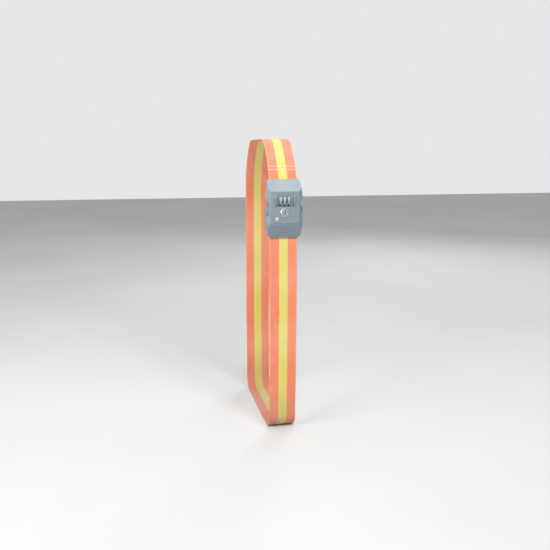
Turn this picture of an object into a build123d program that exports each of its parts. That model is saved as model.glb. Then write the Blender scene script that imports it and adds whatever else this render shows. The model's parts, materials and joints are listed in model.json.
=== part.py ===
from build123d import *
import math
import os

os.makedirs("parts", exist_ok=True)

# Luggage strap with a dial and key lock, worn round a hard case. All sizes are in millimetres.
# Frame: +X across the webbing, -Y out of the front, +Z up, origin at the middle of the case section.

# ---- webbing and the case section that it is worn on ----
WEB_WIDTH = 50.0
WEB_THICK = 1.4
CASE_DEPTH = 240.0
CASE_HEIGHT = 533.6
CORNER_RADIUS = 28.0
SHOULDER_RADIUS = 134.0
FRONT_SHOULDER_RADIUS = 60.0
CROWN_RADIUS = 50.0
SHOULDER_TURN = math.radians(43.8)
CROWN_SETBACK = 53.7
CROWN_DROP = 56.0
TAIL_END_Z = -145.0
TAIL_LEAVES_Z = 80.0
TAIL_FLAT_Z = 54.0
RUN_LOW_Z = -215.0
FOLD_GAP = 0.3

# ---- buckle: heights are measured from the parting line, depths forward from the case ----
PARTING_Z = 121.0
BODY_HEIGHT = 77.0
BODY_DEPTH = 18.0
TOP_EDGE_DEPTH = 7.0
TOP_FACET_START = 56.0
BASE_HEIGHT = 25.0
BASE_EDGE_DEPTH = 11.0
PARTING_GAP = 0.3
LIP_CHAMFER = 0.7
FACE_HALF = 25.6
BEVEL_SLOPE = 0.615
WALL = 2.0
MOUTH_HALF = 30.6
MOUTH_TOP = 34.6
CHAMBER_HALF = 27.0
SLOT_HALF = 25.8
CHAMBER_TOP = 58.5
COVER_THICK = 2.0

# ---- bars that the webbing turns round ----
BAR_RADIUS = 1.8
WRAP_HALF = BAR_RADIUS + 0.05 + WEB_THICK / 2
LOOP_BAR = (3.6, 66.0)
GRIP_BAR = (5.0, -9.0)
WRAP_CORNER = 2.4

# ---- dials ----
DIAL_Z = 40.5
DIAL_DEPTH = 11.7
DIAL_RADIUS = 8.5
DIAL_WIDTH = 4.3
DIAL_PITCH = 7.5
DIAL_X = [-DIAL_PITCH, 0.0, DIAL_PITCH]
DIAL_OFFSET = -0.6
DIAL_FLUTES = 10
FLUTE_RADIUS = 1.5
FLUTE_CENTRE = DIAL_RADIUS + 0.9
SLEEVE_RADIUS = 3.6
SLEEVE_NECK = 2.15
SLEEVE_GAP = 0.1
SLEEVE_FIT = 0.02
FLANGE_RADIUS = 6.4
FLANGE_THICK = 0.8
FLANGE_X = 1.75
GATE_HALF = 1.5
GATE_FLOOR = 4.4
SPINDLE_RADIUS = 1.5
BORE_CLEARANCE = 0.05
DIAL_GAP = 0.4
SCOOP_HALF = 16.7
SCOOP_LOW = 29.6
SCOOP_HIGH = 53.0
SCOOP_FLOOR = 15.2
SCOOP_WALL = 1.2
SCOOP_DRAFT = 0.3
DIAL_SLOT_LOW = 30.6
FLANGE_SLOT_WIDTH = 6.3
GUARD_X = 16.8
GUARD_WIDTH = 2.0
GUARD_RADIUS = 17.5
GUARD_CREST = 20.4
GUARD_ROUND = 0.6
GUARD_MIDDLE = 40.6

# ---- key lock ----
KEY_Z = 19.4
BEZEL_RADIUS = 7.8
SHELL_RADIUS = 6.8
PLUG_RADIUS = 4.2
SHELL_BACK = 8.0

# ---- side prongs and the slide that they lift ----
PRONG_PIVOT = (27.5, -2.8)
KNUCKLE_RADIUS = 2.2
PRONG_BACK = 4.0
PRONG_FRONT = 13.0
SLIDE_BACK = 10.5
SLIDE_FRONT = 12.9
SPRING_X = 18.6

CASE_FRONT = -CASE_DEPTH / 2
HALF_THICK = WEB_THICK / 2
REACH = 200.0


def front_plane(depth):
    """Plane facing out of the front: x across, y up from the parting line."""
    return Plane(origin=(0, CASE_FRONT - depth, PARTING_Z), x_dir=(1, 0, 0), z_dir=(0, -1, 0))


def axle_plane(x):
    """Plane facing +X: x is depth forward from the case, y is height below the parting line."""
    return Plane(origin=(x, CASE_FRONT, PARTING_Z), x_dir=(0, -1, 0), z_dir=(1, 0, 0))


SIDE = Plane(origin=(0, CASE_FRONT, PARTING_Z), x_dir=(0, -1, 0), z_dir=(-1, 0, 0))
SECTION = Plane(origin=(0, CASE_FRONT, PARTING_Z), x_dir=(1, 0, 0), z_dir=(0, 0, -1))


def at(depth, height):
    """A point of the YZ section from a depth off the case and a height off the parting line."""
    return (CASE_FRONT - depth, PARTING_Z + height)


def symmetric_face(*points):
    """Fill the outline given by its right half, mirrored to the left."""
    with BuildLine() as outline:
        Polyline(*points)
        mirror(about=Plane.YZ)
    make_face(outline.line)


def closed_face(*points):
    """Fill a closed polygon."""
    with BuildLine() as outline:
        Polyline(*points, close=True)
    make_face(outline.line)


def bevel_depth(x, below=0.0):
    """Depth of the side bevel at x, or of a surface the given depth below it."""
    return BODY_DEPTH - (x - FACE_HALF) * BEVEL_SLOPE - below


def web_side(points, radii, shift):
    """One face of a strip of webbing: its middle route moved sideways, radii and all."""
    corners = []
    corner_radii = []
    for before, here, after, radius in zip(points, points[1:], points[2:], radii):
        way_in = (Vector(*here) - Vector(*before)).normalized()
        way_out = (Vector(*after) - Vector(*here)).normalized()
        left_in = Vector(-way_in.Y, way_in.X)
        left_out = Vector(-way_out.Y, way_out.X)
        move = (left_in + left_out) * (shift / (1 + left_in.dot(left_out)))
        corners.append(Vector(*here) + move)
        turns_left = way_in.cross(way_out).Z > 0
        corner_radii.append(radius - shift if turns_left else radius + shift)
    first_way = (Vector(*points[1]) - Vector(*points[0])).normalized()
    last_way = (Vector(*points[-1]) - Vector(*points[-2])).normalized()
    start = Vector(*points[0]) + Vector(-first_way.Y, first_way.X) * shift
    end = Vector(*points[-1]) + Vector(-last_way.Y, last_way.X) * shift
    return [start, *corners, end], corner_radii


def webbing_section(points, radii):
    """Fill the edge-on section of a strip of webbing laid along a filleted route."""
    with BuildLine() as outline:
        ends = []
        for shift in (HALF_THICK, -HALF_THICK):
            side_points, side_radii = web_side(points, radii, shift)
            if side_radii:
                FilletPolyline(*side_points, radius=side_radii)
            else:
                Line(*side_points)
            ends.append((side_points[0], side_points[-1]))
        Line(ends[0][0], ends[1][0])
        Line(ends[0][1], ends[1][1])
    make_face(outline.line)


def save(builder, name):
    """Label a finished piece and write it."""
    builder.part.label = name
    export_step(builder.part, f"parts/{name}.step")


# ---- webbing routes in the YZ section ----
crown_front = (CASE_FRONT - HALF_THICK + CROWN_SETBACK, CASE_HEIGHT / 2 + HALF_THICK)
crown_back = (-crown_front[0], crown_front[1])
shoulder_back = (-CASE_FRONT + HALF_THICK, crown_front[1] - CROWN_DROP)
corner_back = (-CASE_FRONT + HALF_THICK, -CASE_HEIGHT / 2 - HALF_THICK)
corner_front = (CASE_FRONT - 0.6, -CASE_HEIGHT / 2 - HALF_THICK)

# The loop leaves the bar of the lock body upwards, then leans back onto the shoulder of the case.
LEAN_START = 70.0
lean_start = at(LOOP_BAR[0] + WRAP_HALF, LEAN_START)
LEAN = math.radians(32.0)
lean_dir = Vector(0, math.sin(LEAN), math.cos(LEAN))
lean_out = Vector(0, -math.cos(LEAN), math.sin(LEAN))
back_dir = (-math.sin(SHOULDER_TURN), -math.cos(SHOULDER_TURN))
run_y = lean_start[0] - crown_front[0]
run_z = lean_start[1] - crown_front[1]
turn_area = math.sin(LEAN) * back_dir[1] - math.cos(LEAN) * back_dir[0]
lean_length = (run_z * back_dir[0] - run_y * back_dir[1]) / turn_area
shoulder_front = (
    lean_start[0] + lean_length * math.sin(LEAN),
    lean_start[1] + lean_length * math.cos(LEAN),
)

# The sewn fold lies behind the leaning stretch, on the case side.
FOLD_SHIFT = (WEB_THICK + FOLD_GAP) / math.cos(LEAN)
FOLD_END = 101.5


def fold_depth(height):
    """Depth of the middle of the sewn fold at a height above the parting line."""
    main_depth = LOOP_BAR[0] + WRAP_HALF - (height - LEAN_START) * math.tan(LEAN)
    return main_depth - FOLD_SHIFT


fold_corner = LEAN_START + (2 * WRAP_HALF - FOLD_SHIFT) / math.tan(LEAN)
loop_low = LOOP_BAR[1] - WRAP_HALF

# The front run is one straight line from the lower corner of the case to the gripping bar.
run_top = at(GRIP_BAR[0] + WRAP_HALF, GRIP_BAR[1] + WRAP_HALF)


def on_run(z):
    """Point on the middle of the front run at height z."""
    share = (z - corner_front[1]) / (run_top[1] - corner_front[1])
    return (corner_front[0] + share * (run_top[0] - corner_front[0]), z)


RUN_HIGH_Z = PARTING_Z - BASE_HEIGHT - 2.0
TAIL_DEPTH = 0.85
TAIL_BEND = 60.0
FOLD_BEND = 6.0
LEAN_BEND = 4.0
loop_points = [
    at(fold_depth(FOLD_END), FOLD_END),
    at(LOOP_BAR[0] - WRAP_HALF, fold_corner),
    at(LOOP_BAR[0] - WRAP_HALF, loop_low),
    at(LOOP_BAR[0] + WRAP_HALF, loop_low),
    lean_start,
    shoulder_front,
    crown_front,
    crown_back,
    shoulder_back,
    corner_back,
    corner_front,
    on_run(RUN_LOW_Z),
]
loop_radii = [
    FOLD_BEND,
    WRAP_CORNER,
    WRAP_CORNER,
    LEAN_BEND,
    FRONT_SHOULDER_RADIUS,
    CROWN_RADIUS,
    CROWN_RADIUS,
    SHOULDER_RADIUS,
    CORNER_RADIUS + HALF_THICK,
    CORNER_RADIUS + HALF_THICK,
]
wrap_points = [
    on_run(RUN_HIGH_Z),
    run_top,
    at(GRIP_BAR[0] - WRAP_HALF, GRIP_BAR[1] + WRAP_HALF),
    (at(GRIP_BAR[0] - WRAP_HALF, 0)[0], RUN_HIGH_Z),
]
tail_points = [
    wrap_points[-1],
    (wrap_points[-1][0], TAIL_LEAVES_Z),
    (CASE_FRONT - TAIL_DEPTH, TAIL_FLAT_Z),
    (CASE_FRONT - TAIL_DEPTH, TAIL_END_Z),
]

# ---- webbing ----
with BuildPart() as webbing_loop:
    with BuildSketch(Plane.YZ):
        webbing_section(loop_points, loop_radii)
    extrude(amount=WEB_WIDTH / 2, both=True)
save(webbing_loop, "webbing_loop")

with BuildPart() as webbing_front_run:
    with BuildSketch(Plane.YZ):
        webbing_section([on_run(RUN_LOW_Z), on_run(RUN_HIGH_Z)], [])
    extrude(amount=WEB_WIDTH / 2, both=True)
save(webbing_front_run, "webbing_front_run")

with BuildPart() as webbing_wrap:
    with BuildSketch(Plane.YZ):
        webbing_section(wrap_points, [WRAP_CORNER, WRAP_CORNER])
    extrude(amount=WEB_WIDTH / 2, both=True)
save(webbing_wrap, "webbing_wrap")

with BuildPart() as webbing_tail:
    with BuildSketch(Plane.YZ):
        webbing_section(tail_points, [TAIL_BEND, TAIL_BEND])
    extrude(amount=WEB_WIDTH / 2, both=True)
save(webbing_tail, "webbing_tail")

# Two rows of thread sew the fold to the strap just above the lock body.
STITCH_ROWS = (93.0, 98.6)
STITCHES = 14
STITCH_PITCH = 3.4
STITCH_LENGTH = 2.8
THREAD_WIDTH = 0.9
THREAD_HEIGHT = 0.35
with BuildPart() as fold_stitching:
    for height in STITCH_ROWS:
        along = (height - LEAN_START) / math.cos(LEAN)
        row_point = Vector(0, *lean_start) + lean_dir * along + lean_out * HALF_THICK
        with BuildSketch(Plane(origin=row_point, x_dir=(1, 0, 0), z_dir=lean_out)):
            with GridLocations(STITCH_PITCH, 1, STITCHES, 1):
                SlotOverall(STITCH_LENGTH, THREAD_WIDTH)
        extrude(amount=THREAD_HEIGHT)
save(fold_stitching, "fold_stitching")


# ---- lock body ----
OUTLINE_SIDE = [(32.6, 0.0), (33.2, 10.0), (33.2, 43.5), (30.2, 66.0), (29.6, 71.0)]
OUTLINE_CORNER = (28.2, 75.2)
OUTLINE_TOP = (24.0, BODY_HEIGHT)


def body_outline():
    """Front outline of the lock body, wider at the mouth than at the top edge."""
    with BuildLine() as outline:
        Polyline((0, 0), *OUTLINE_SIDE)
        ThreePointArc(OUTLINE_SIDE[-1], OUTLINE_CORNER, OUTLINE_TOP)
        Line(OUTLINE_TOP, (0, BODY_HEIGHT))
        mirror(about=Plane.YZ)
    make_face(outline.line)


def cut_boss_hole(x, height, radius, start, end):
    """Drill a hole towards the front between two depths."""
    with BuildSketch(front_plane(start)) as profile:
        with Locations((x, height)):
            Circle(radius)
    extrude(profile.sketch, amount=end - start, mode=Mode.SUBTRACT)


def cut_round_slot(x, width, radius):
    """Cut a drum about the dials' axis out of the housing, centred on x."""
    with BuildSketch(axle_plane(x - width / 2)) as profile:
        with Locations((DIAL_DEPTH, -DIAL_Z)):
            Circle(radius)
    extrude(profile.sketch, amount=width, mode=Mode.SUBTRACT)


def add_block(x_low, x_high, z_low, z_high, back, front):
    """Add a rectangular block, given by its limits across, up and forward."""
    with BuildSketch(front_plane(back)) as profile:
        with Locations(((x_low + x_high) / 2, (z_low + z_high) / 2)):
            Rectangle(x_high - x_low, z_high - z_low)
    extrude(profile.sketch, amount=front - back)


SCREW_PLACES = [(-14.5, 5.5), (14.5, 5.5), (-21.0, 54.0), (21.0, 54.0)]
SECTION_HALF = 34.0
FACET_EDGE_DEPTH = 14.5
FACET_EDGE_HEIGHT = 1.5
INNER_FACE_HALF = 25.0
SLOT_FOOT_DEPTH = 13.4
WINDOW_LOW = 15.4
WINDOW_HIGH = 34.0
WINDOW_LIP = (40.0, 13.8)
FINGER_OUTSIDE = (40.0, 48.0)
FINGER_HIGH = (33.6, 44.0)
FINGER_MIDDLE = (30.2, 39.8)
WALL_SINK = 0.5
SCOOP_BLOCK = (-19.5, 19.5, 28.2, 53.6)
YOKE_LEFT = (-14.2, -11.5)
YOKE_RIGHT = (14.6, 16.9)
YOKE_DEPTHS = (9.2, 15.0)
YOKE_HALF = 3.0
SEAT_ACROSS = (16.9, 20.4)
SEAT_UP = (38.7, 41.5)
SEAT_DEPTHS = (9.5, 16.2)
BOSS_RADIUS = 2.8
PILOT_RADIUS = 1.0
PILOT_END = 14.5
SPINDLE_HOLE_LEFT = -14.3
SPINDLE_HOLE_LENGTH = 32.0
KEY_HOLE_BACK = 13.0
INLAY_POCKET = 0.7
OPEN_FRONT = 20.0
FACET_SLOPE = (BODY_DEPTH - TOP_EDGE_DEPTH) / (BODY_HEIGHT - TOP_FACET_START)
FACET_WALL = 2.3
FACET_ROUND = 3.0
INNER_FRONT = BODY_DEPTH - WALL
INNER_FACET_START = TOP_FACET_START - 0.8
INNER_FACET_DEPTH = 8.0
SLOT_TOP = BODY_HEIGHT + 1
SLOT_TOP_DEPTH = BODY_DEPTH - FACET_WALL - (SLOT_TOP - TOP_FACET_START) * FACET_SLOPE
BEVEL_WALL = 2.35
WINDOW_HALF = 28.2
INLAY_PLACE = (-14.6, 8.8)
INLAY_RADIUS = 3.3

with BuildPart() as front_housing:
    with BuildSketch(front_plane(0)):
        body_outline()
    extrude(amount=BODY_DEPTH)
    with BuildSketch(SIDE):
        closed_face(
            (0, 0),
            (BODY_DEPTH - LIP_CHAMFER, 0),
            (BODY_DEPTH, LIP_CHAMFER),
            (BODY_DEPTH, TOP_FACET_START),
            (TOP_EDGE_DEPTH, BODY_HEIGHT),
            (0, BODY_HEIGHT),
        )
    extrude(amount=REACH, both=True, mode=Mode.INTERSECT)
    with BuildSketch(SECTION):
        symmetric_face(
            (0, 0),
            (SECTION_HALF, 0),
            (SECTION_HALF, bevel_depth(SECTION_HALF)),
            (FACE_HALF, BODY_DEPTH),
            (0, BODY_DEPTH),
        )
    extrude(amount=REACH, both=True, mode=Mode.INTERSECT)
    facet_edges = front_housing.edges().filter_by(
        lambda edge: edge.center().Y < CASE_FRONT - FACET_EDGE_DEPTH
        and edge.center().Z > PARTING_Z + FACET_EDGE_HEIGHT
    )
    fillet(facet_edges, radius=FACET_ROUND)
    # the lock chamber, open to the back and at the mouth
    with BuildSketch(front_plane(-1)):
        symmetric_face(
            (0, -1),
            (MOUTH_HALF, -1),
            (MOUTH_HALF, MOUTH_TOP),
            (CHAMBER_HALF, MOUTH_TOP),
            (CHAMBER_HALF, CHAMBER_TOP),
            (0, CHAMBER_TOP),
        )
    chamber = extrude(amount=BODY_DEPTH, mode=Mode.PRIVATE)
    with BuildSketch(SECTION):
        symmetric_face(
            (0, -2),
            (MOUTH_HALF, -2),
            (MOUTH_HALF, bevel_depth(MOUTH_HALF, BEVEL_WALL)),
            (INNER_FACE_HALF, INNER_FRONT),
            (0, INNER_FRONT),
        )
    chamber_bevel = extrude(amount=REACH, both=True, mode=Mode.PRIVATE)
    with BuildSketch(SIDE):
        closed_face(
            (-2, -2),
            (INNER_FRONT, -2),
            (INNER_FRONT, INNER_FACET_START),
            (INNER_FRONT - INNER_FACET_DEPTH, INNER_FACET_START + INNER_FACET_DEPTH / FACET_SLOPE),
            (-2, INNER_FACET_START + INNER_FACET_DEPTH / FACET_SLOPE),
        )
    chamber_facet = extrude(amount=REACH, both=True, mode=Mode.PRIVATE)
    add(chamber & chamber_bevel & chamber_facet, mode=Mode.SUBTRACT)
    # the webbing slot behind the top facet
    with BuildSketch(SIDE):
        closed_face(
            (-1, CHAMBER_TOP + 2),
            (SLOT_FOOT_DEPTH, CHAMBER_TOP + 2),
            (SLOT_TOP_DEPTH, SLOT_TOP),
            (-1, SLOT_TOP),
        )
    extrude(amount=SLOT_HALF, both=True, mode=Mode.SUBTRACT)
    with BuildSketch(SIDE):
        with Locations(LOOP_BAR):
            Circle(BAR_RADIUS)
    extrude(amount=SLOT_HALF + 1, both=True)
    # the windows that the prongs stand in, scooped above for the fingers
    with BuildSketch(front_plane(-1)):
        with BuildLine():
            Polyline(
                (WINDOW_HALF, WINDOW_HIGH),
                (WINDOW_HALF, WINDOW_LOW),
                WINDOW_LIP,
                FINGER_OUTSIDE,
                FINGER_HIGH,
            )
            ThreePointArc(FINGER_HIGH, FINGER_MIDDLE, (WINDOW_HALF, WINDOW_HIGH))
        make_face()
        mirror(about=Plane.YZ)
    extrude(amount=BODY_DEPTH + 2, mode=Mode.SUBTRACT)
    # thicker wall behind the dial recess, bosses, spindle yoke and spring seats
    add_block(*SCOOP_BLOCK, SCOOP_FLOOR - SCOOP_WALL, INNER_FRONT + WALL_SINK)
    for yoke in (YOKE_LEFT, YOKE_RIGHT):
        add_block(*yoke, DIAL_Z - YOKE_HALF, DIAL_Z + YOKE_HALF, *YOKE_DEPTHS)
    add_block(*SEAT_ACROSS, *SEAT_UP, *SEAT_DEPTHS)
    add_block(-SEAT_ACROSS[1], -SEAT_ACROSS[0], *SEAT_UP, *SEAT_DEPTHS)
    with BuildSketch(front_plane(COVER_THICK)):
        with Locations(*SCREW_PLACES):
            Circle(BOSS_RADIUS)
    extrude(amount=INNER_FRONT + WALL_SINK - COVER_THICK)
    for place in SCREW_PLACES:
        cut_boss_hole(*place, PILOT_RADIUS, COVER_THICK, PILOT_END)
    with BuildSketch(axle_plane(SPINDLE_HOLE_LEFT)):
        with Locations((DIAL_DEPTH, -DIAL_Z)):
            Circle(SPINDLE_RADIUS + BORE_CLEARANCE)
    extrude(amount=SPINDLE_HOLE_LENGTH, mode=Mode.SUBTRACT)
    # scoop that deepens towards its lower wall, so that the dials stand out of its foot
    with BuildSketch(SIDE):
        with BuildLine():
            Polyline(
                (BODY_DEPTH, SCOOP_HIGH),
                (SCOOP_FLOOR, SCOOP_LOW + SCOOP_DRAFT),
                (BODY_DEPTH + 1, SCOOP_LOW),
                (BODY_DEPTH + 1, SCOOP_HIGH),
                close=True,
            )
        make_face()
    extrude(amount=SCOOP_HALF, both=True, mode=Mode.SUBTRACT)
    # slots: close round the upper half of each dial and its flange, open below it
    with BuildSketch(front_plane(SCOOP_FLOOR - SCOOP_WALL - WALL_SINK)):
        with Locations(*[(x + DIAL_OFFSET, (DIAL_SLOT_LOW + DIAL_Z) / 2) for x in DIAL_X]):
            Rectangle(DIAL_WIDTH + 2 * DIAL_GAP, DIAL_Z - DIAL_SLOT_LOW)
    extrude(amount=BODY_DEPTH, mode=Mode.SUBTRACT)
    for x in DIAL_X:
        cut_round_slot(x + DIAL_OFFSET, DIAL_WIDTH + 2 * DIAL_GAP, DIAL_RADIUS + DIAL_GAP)
        cut_round_slot(x, FLANGE_SLOT_WIDTH, FLANGE_RADIUS + DIAL_GAP)
    # arched guards beside the dials, standing as proud as the dials do
    for side in (-1, 1):
        with BuildSketch(axle_plane(side * GUARD_X - GUARD_WIDTH / 2)) as arch:
            with Locations((GUARD_CREST - GUARD_RADIUS, -GUARD_MIDDLE)):
                Circle(GUARD_RADIUS)
            with Locations((SCOOP_FLOOR - WALL_SINK, -GUARD_MIDDLE)):
                Rectangle(
                    BODY_DEPTH,
                    2 * GUARD_RADIUS,
                    align=(Align.MIN, Align.CENTER),
                    mode=Mode.INTERSECT,
                )
        guard = extrude(arch.sketch, amount=GUARD_WIDTH, mode=Mode.PRIVATE)
        add(guard.fillet(GUARD_ROUND, guard.edges().filter_by(GeomType.CIRCLE)))
    # key hole, and the shallow round pocket of the inlay
    cut_boss_hole(0, KEY_Z, SHELL_RADIUS + BORE_CLEARANCE, KEY_HOLE_BACK, OPEN_FRONT)
    cut_boss_hole(*INLAY_PLACE, INLAY_RADIUS, BODY_DEPTH - INLAY_POCKET, OPEN_FRONT)
save(front_housing, "front_housing")

COVER_LOW = 0.4
COVER_GAP = 0.3
COVER_STEP = 15.2
COVER_CLEARANCE = 0.2
SCREW_HOLE_RADIUS = 1.5
SCREW_HEAD_HOLE_RADIUS = 2.6
SCREW_HEAD_HOLE_END = 0.9
with BuildPart() as back_cover:
    with BuildSketch(front_plane(0)):
        symmetric_face(
            (0, COVER_LOW),
            (MOUTH_HALF - COVER_GAP, COVER_LOW),
            (MOUTH_HALF - COVER_GAP, COVER_STEP),
            (WINDOW_HALF - WALL_SINK, COVER_STEP),
            (WINDOW_HALF - WALL_SINK, MOUTH_TOP - COVER_GAP),
            (CHAMBER_HALF - COVER_CLEARANCE, MOUTH_TOP - COVER_GAP),
            (CHAMBER_HALF - COVER_CLEARANCE, CHAMBER_TOP - COVER_CLEARANCE),
            (0, CHAMBER_TOP - COVER_CLEARANCE),
        )
    extrude(amount=COVER_THICK)
    for x, height in SCREW_PLACES:
        cut_boss_hole(x, height, SCREW_HOLE_RADIUS, -1, COVER_THICK + 1)
        cut_boss_hole(x, height, SCREW_HEAD_HOLE_RADIUS, -1, SCREW_HEAD_HOLE_END)
save(back_cover, "back_cover")

# Flat-headed screws hold the back cover on.
HEAD_BACK = 0.1
HEAD_RADIUS = 2.4
HEAD_THICK = 0.7
SHANK_RADIUS = 0.95
SHANK_LENGTH = 11.0
DRIVE_LENGTH = 3.2
DRIVE_WIDTH = 0.6
DRIVE_DEPTH = 0.45
with BuildPart() as housing_screws:
    for place in SCREW_PLACES:
        with BuildSketch(front_plane(HEAD_BACK)):
            with Locations(place):
                Circle(HEAD_RADIUS)
        extrude(amount=HEAD_THICK)
        with BuildSketch(front_plane(HEAD_BACK + HEAD_THICK)):
            with Locations(place):
                Circle(SHANK_RADIUS)
        extrude(amount=SHANK_LENGTH)
    for place in SCREW_PLACES:
        with BuildSketch(front_plane(HEAD_BACK)):
            with Locations(place):
                Rectangle(DRIVE_LENGTH, DRIVE_WIDTH)
                Rectangle(DRIVE_WIDTH, DRIVE_LENGTH)
        extrude(amount=DRIVE_DEPTH, mode=Mode.SUBTRACT)
save(housing_screws, "housing_screws")

# A plain round inlay sits in the pocket of the front face.
INLAY_GAP = 0.1
INLAY_THICK = 0.9
INLAY_ROUND = 0.3
with BuildPart() as plain_inlay:
    with BuildSketch(front_plane(BODY_DEPTH - INLAY_POCKET)):
        with Locations(INLAY_PLACE):
            Circle(INLAY_RADIUS - INLAY_GAP)
    extrude(amount=INLAY_THICK)
    fillet(plain_inlay.faces().sort_by(Axis.Y)[0].edges(), radius=INLAY_ROUND)
save(plain_inlay, "plain_inlay")

# ---- key lock ----
BEZEL_THICK = 1.4
BEZEL_CHAMFER = 0.7
GROOVE_BACK = 14.9
GROOVE_WIDTH = 1.0
GROOVE_DEPTH = 0.6
CLIP_BACK = 15.0
CLIP_THICK = 0.8
CLIP_RADIUS = 8.4
CLIP_MOUTH = (8.0, 10.0)
CLIP_MOUTH_RISE = 7.0
with BuildPart() as key_shell:
    with BuildSketch(front_plane(SHELL_BACK)):
        with Locations((0, KEY_Z)):
            Circle(SHELL_RADIUS)
    extrude(amount=BODY_DEPTH - SHELL_BACK)
    with BuildSketch(front_plane(BODY_DEPTH)):
        with Locations((0, KEY_Z)):
            Circle(BEZEL_RADIUS)
    extrude(amount=BEZEL_THICK)
    chamfer(key_shell.faces().sort_by(Axis.Y)[0].edges(), length=BEZEL_CHAMFER)
    with BuildSketch(front_plane(GROOVE_BACK)):
        with Locations((0, KEY_Z)):
            Circle(SHELL_RADIUS + 1)
            Circle(SHELL_RADIUS - GROOVE_DEPTH, mode=Mode.SUBTRACT)
    extrude(amount=GROOVE_WIDTH, mode=Mode.SUBTRACT)
    with BuildSketch(front_plane(SHELL_BACK - 1)):
        with Locations((0, KEY_Z)):
            Circle(PLUG_RADIUS + BORE_CLEARANCE)
    extrude(amount=20, mode=Mode.SUBTRACT)
save(key_shell, "key_shell")

with BuildPart() as cylinder_clip:
    with BuildSketch(front_plane(CLIP_BACK)):
        with Locations((0, KEY_Z)):
            Circle(CLIP_RADIUS)
            Circle(SHELL_RADIUS - GROOVE_DEPTH + BORE_CLEARANCE, mode=Mode.SUBTRACT)
        with Locations((0, KEY_Z + CLIP_MOUTH_RISE)):
            Rectangle(*CLIP_MOUTH, mode=Mode.SUBTRACT)
    extrude(amount=CLIP_THICK)
save(cylinder_clip, "cylinder_clip")

PLUG_BACK = 7.2
PLUG_FRONT = 18.9
PLUG_CHAMFER = 0.3
KEYWAY = (1.3, 5.6)
KEYWAY_DEPTH = 8.0
WARD = (1.3, 1.1)
WARD_PLACE = (0.45, 1.2)
PLUG_HOLE_RADIUS = 0.8
with BuildPart() as key_plug:
    with BuildSketch(front_plane(PLUG_BACK)):
        with Locations((0, KEY_Z)):
            Circle(PLUG_RADIUS)
    extrude(amount=PLUG_FRONT - PLUG_BACK)
    chamfer(key_plug.faces().sort_by(Axis.Y)[0].edges(), length=PLUG_CHAMFER)
    with BuildSketch(front_plane(PLUG_FRONT - KEYWAY_DEPTH)):
        with Locations((0, KEY_Z)):
            Rectangle(*KEYWAY)
        for side in (-1, 1):
            with Locations((side * WARD_PLACE[0], KEY_Z + side * WARD_PLACE[1])):
                Rectangle(*WARD)
    extrude(amount=KEYWAY_DEPTH + 1, mode=Mode.SUBTRACT)
    cut_boss_hole(0, KEY_Z, PLUG_HOLE_RADIUS, PLUG_BACK - 1, PLUG_BACK + 3)
save(key_plug, "key_plug")

CAM_BACK = 5.6
CAM_REACH = 8.0
CAM_RADIUS = 3.9
CAM_TIP = 1.8
CAM_HOLE = 1.0
with BuildPart() as key_cam:
    with BuildSketch(front_plane(CAM_BACK)):
        with Locations((0, KEY_Z)):
            Circle(CAM_RADIUS)
        with Locations((0, KEY_Z - (CAM_REACH - CAM_TIP) / 2)):
            Rectangle(2 * CAM_TIP, CAM_REACH - CAM_TIP)
        with Locations((0, KEY_Z - CAM_REACH + CAM_TIP)):
            Circle(CAM_TIP)
        with Locations((0, KEY_Z)):
            Circle(CAM_HOLE, mode=Mode.SUBTRACT)
    extrude(amount=PLUG_BACK - CAM_BACK)
save(key_cam, "key_cam")

CAM_SCREW_BACK = 4.85
CAM_SCREW_HEAD = 2.2
CAM_SCREW_SLOT = (3.0, 0.6)
CAM_SCREW_SLOT_DEPTH = 0.4
CAM_SCREW_SHANK = 0.75
CAM_SCREW_LENGTH = 4.0
with BuildPart() as cam_screw:
    with BuildSketch(front_plane(CAM_SCREW_BACK)):
        with Locations((0, KEY_Z)):
            Circle(CAM_SCREW_HEAD)
    extrude(amount=CAM_BACK - CAM_SCREW_BACK)
    with BuildSketch(front_plane(CAM_SCREW_BACK)):
        with Locations((0, KEY_Z)):
            Rectangle(*CAM_SCREW_SLOT)
    extrude(amount=CAM_SCREW_SLOT_DEPTH, mode=Mode.SUBTRACT)
    with BuildSketch(front_plane(CAM_BACK)):
        with Locations((0, KEY_Z)):
            Circle(CAM_SCREW_SHANK)
    extrude(amount=CAM_SCREW_LENGTH)
save(cam_screw, "cam_screw")

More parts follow.
